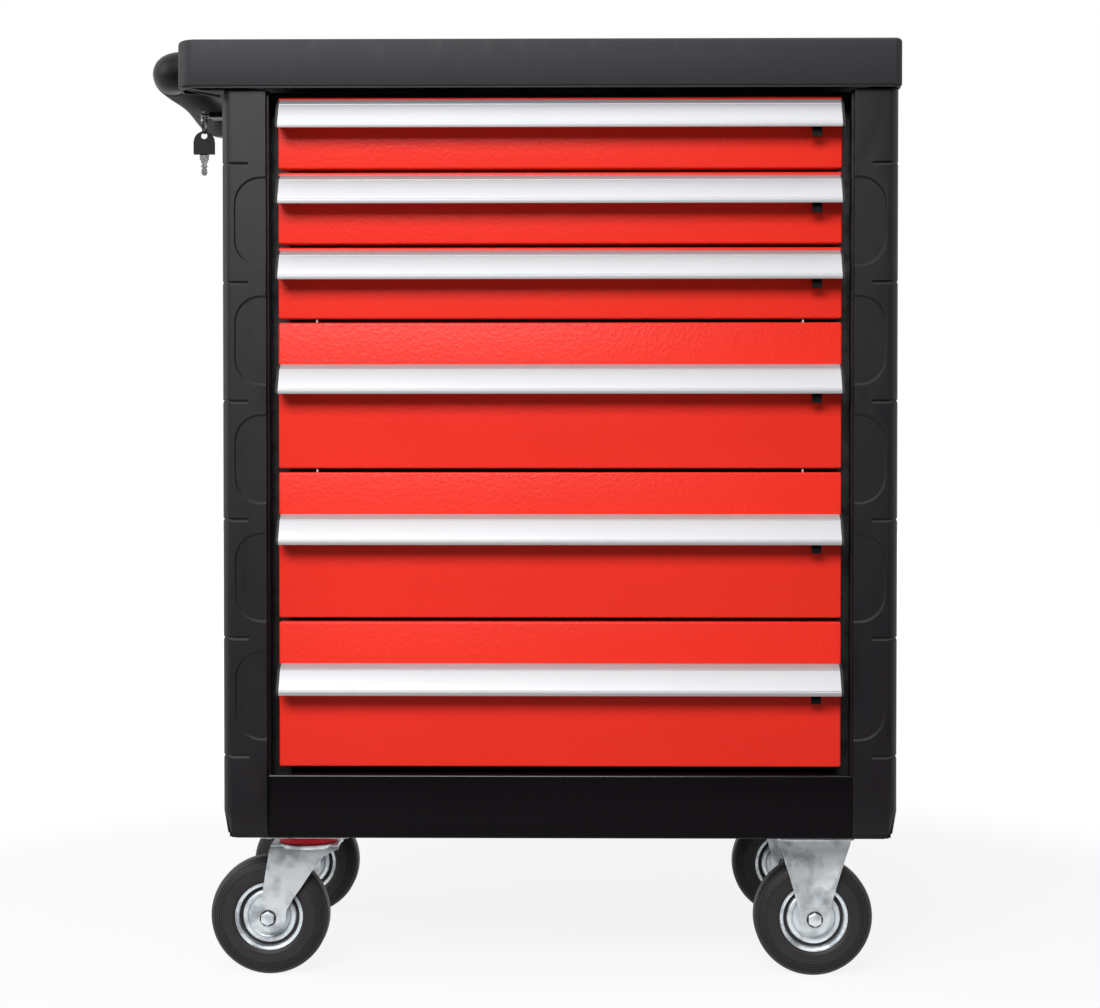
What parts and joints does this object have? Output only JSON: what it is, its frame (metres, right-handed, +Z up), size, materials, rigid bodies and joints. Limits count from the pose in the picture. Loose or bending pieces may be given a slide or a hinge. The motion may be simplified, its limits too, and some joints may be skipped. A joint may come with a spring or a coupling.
{
  "type": "tool cart",
  "caption": "Rolling tool chest with full-width pull strips on its drawers, a moulded worktop tray, corner bumpers, a side push handle, a key lock, and fixed and swivel castors.",
  "frame": {"origin": "centre of the bounding box on the floor", "axes": "+X to the right seen from the drawer side, +Y to the back, +Z up"},
  "size_m": [0.77, 0.465, 0.9605],
  "materials": {
    "worktop_plastic": "fine-grained moulded black plastic",
    "bumper_plastic": "fine-grained moulded black plastic",
    "black_paint": "semi-gloss black powder coat",
    "gloss_black_paint": "gloss black powder coat",
    "red_paint": "red powder coat with fine orange peel",
    "strip_aluminium": "satin anodised",
    "black_plastic": "satin black plastic",
    "grip_rubber": "soft dark grip",
    "red_plastic": "satin red",
    "zinc": "bright zinc plate",
    "nickel": "nickel plate",
    "tyre_rubber": "black rubber"
  },
  "bodies": {
    "cabinet": {"worktop": "worktop_plastic", "left_side_panel": "black_paint", "right_side_panel": "black_paint", "back_panel": "black_paint", "base_panel": "black_paint", "top_frame": "black_paint", "kick_panel": "gloss_black_paint", "left_runner_rack": "zinc", "right_runner_rack": "zinc", "front_left_post": "bumper_plastic", "rear_left_post": "bumper_plastic", "front_right_post": "bumper_plastic", "rear_right_post": "bumper_plastic", "handle_bow": "black_plastic", "handle_grip": "grip_rubber", "handle_front_flange": "black_plastic", "handle_rear_flange": "black_plastic", "lock_body": "nickel", "front_swivel_plate": "zinc", "front_swivel_ring": "red_plastic", "rear_swivel_plate": "zinc", "rear_swivel_ring": "red_plastic", "front_fixed_bracket": "zinc", "rear_fixed_bracket": "zinc", "front_right_axle": "zinc", "rear_right_axle": "zinc"},
    "drawer_1_body": {"drawer_1": "red_paint", "handle_strip_1": "strip_aluminium"},
    "drawer_2_body": {"drawer_2": "red_paint", "handle_strip_2": "strip_aluminium"},
    "drawer_3_body": {"drawer_3": "red_paint", "handle_strip_3": "strip_aluminium"},
    "drawer_4_body": {"drawer_4": "red_paint", "handle_strip_4": "strip_aluminium"},
    "drawer_5_body": {"drawer_5": "red_paint", "handle_strip_5": "strip_aluminium"},
    "drawer_6_body": {"drawer_6": "red_paint", "handle_strip_6": "strip_aluminium"},
    "latch_1_body": {"latch_tab_1": "black_plastic"},
    "latch_2_body": {"latch_tab_2": "black_plastic"},
    "latch_3_body": {"latch_tab_3": "black_plastic"},
    "latch_4_body": {"latch_tab_4": "black_plastic"},
    "latch_5_body": {"latch_tab_5": "black_plastic"},
    "latch_6_body": {"latch_tab_6": "black_plastic"},
    "front_fork_body": {"front_swivel_fork": "zinc", "front_left_axle": "zinc"},
    "rear_fork_body": {"rear_swivel_fork": "zinc", "rear_left_axle": "zinc"},
    "front_left_wheel": {"front_left_tyre": "tyre_rubber", "front_left_hub": "zinc"},
    "rear_left_wheel": {"rear_left_tyre": "tyre_rubber", "rear_left_hub": "zinc"},
    "front_right_wheel": {"front_right_tyre": "tyre_rubber", "front_right_hub": "zinc"},
    "rear_right_wheel": {"rear_right_tyre": "tyre_rubber", "rear_right_hub": "zinc"},
    "lock_plug_body": {"lock_cylinder": "black_plastic"},
    "locking_bar_body": {"locking_bar": "zinc"},
    "key_ring_body": {"key_ring": "nickel"},
    "spare_key_body": {"spare_key": "black_plastic"}
  },
  "joints": [
    {"name": "drawer_1_slide", "type": "slide", "parent": "cabinet", "child": "drawer_1_body", "axis": [0, -1, 0], "range_m": [0, 0.34]},
    {"name": "drawer_2_slide", "type": "slide", "parent": "cabinet", "child": "drawer_2_body", "axis": [0, -1, 0], "range_m": [0, 0.34]},
    {"name": "drawer_3_slide", "type": "slide", "parent": "cabinet", "child": "drawer_3_body", "axis": [0, -1, 0], "range_m": [0, 0.34]},
    {"name": "drawer_4_slide", "type": "slide", "parent": "cabinet", "child": "drawer_4_body", "axis": [0, -1, 0], "range_m": [0, 0.34]},
    {"name": "drawer_5_slide", "type": "slide", "parent": "cabinet", "child": "drawer_5_body", "axis": [0, -1, 0], "range_m": [0, 0.34]},
    {"name": "drawer_6_slide", "type": "slide", "parent": "cabinet", "child": "drawer_6_body", "axis": [0, -1, 0], "range_m": [0, 0.34]},
    {"name": "latch_1_slide", "type": "slide", "parent": "drawer_1_body", "child": "latch_1_body", "axis": [-1, 0, 0], "range_m": [0, 0.008], "stiffness_N_per_m": 150},
    {"name": "latch_2_slide", "type": "slide", "parent": "drawer_2_body", "child": "latch_2_body", "axis": [-1, 0, 0], "range_m": [0, 0.008], "stiffness_N_per_m": 150},
    {"name": "latch_3_slide", "type": "slide", "parent": "drawer_3_body", "child": "latch_3_body", "axis": [-1, 0, 0], "range_m": [0, 0.008], "stiffness_N_per_m": 150},
    {"name": "latch_4_slide", "type": "slide", "parent": "drawer_4_body", "child": "latch_4_body", "axis": [-1, 0, 0], "range_m": [0, 0.008], "stiffness_N_per_m": 150},
    {"name": "latch_5_slide", "type": "slide", "parent": "drawer_5_body", "child": "latch_5_body", "axis": [-1, 0, 0], "range_m": [0, 0.008], "stiffness_N_per_m": 150},
    {"name": "latch_6_slide", "type": "slide", "parent": "drawer_6_body", "child": "latch_6_body", "axis": [-1, 0, 0], "range_m": [0, 0.008], "stiffness_N_per_m": 150},
    {"name": "front_swivel", "type": "hinge", "parent": "cabinet", "child": "front_fork_body", "pos_m": [-0.22125, -0.1455, 0.135], "axis": [0, 0, 1], "continuous": true},
    {"name": "rear_swivel", "type": "hinge", "parent": "cabinet", "child": "rear_fork_body", "pos_m": [-0.22125, 0.1505, 0.135], "axis": [0, 0, 1], "continuous": true},
    {"name": "front_left_roll", "type": "hinge", "parent": "front_fork_body", "child": "front_left_wheel", "pos_m": [-0.26075, -0.1455, 0.0615], "axis": [0, 1, 0], "continuous": true},
    {"name": "rear_left_roll", "type": "hinge", "parent": "rear_fork_body", "child": "rear_left_wheel", "pos_m": [-0.26075, 0.1505, 0.0615], "axis": [0, 1, 0], "continuous": true},
    {"name": "front_right_roll", "type": "hinge", "parent": "cabinet", "child": "front_right_wheel", "pos_m": [0.30525, -0.1455, 0.0615], "axis": [0, 1, 0], "continuous": true},
    {"name": "rear_right_roll", "type": "hinge", "parent": "cabinet", "child": "rear_right_wheel", "pos_m": [0.30525, 0.1505, 0.0615], "axis": [0, 1, 0], "continuous": true},
    {"name": "lock_turn", "type": "hinge", "parent": "cabinet", "child": "lock_plug_body", "pos_m": [-0.2927, -0.1475, 0.894], "axis": [1, 0, 0], "range_deg": [0, 90]},
    {"name": "locking_bar_lift", "type": "slide", "parent": "cabinet", "child": "locking_bar_body", "axis": [0, 0, 1], "range_m": [0, 0.01]},
    {"name": "key_ring_swing", "type": "hinge", "parent": "lock_plug_body", "child": "key_ring_body", "pos_m": [-0.3273, -0.1475, 0.894], "axis": [0, 1, 0], "range_deg": [-8, 20]},
    {"name": "spare_key_swing", "type": "hinge", "parent": "key_ring_body", "child": "spare_key_body", "pos_m": [-0.3273, -0.154, 0.8748], "axis": [0, 1, 0], "range_deg": [-12, 35]}
  ],
  "couplings": [
    {"joint": "lock_turn", "follows": "locking_bar_lift", "rad_per_m": 157}
  ]
}
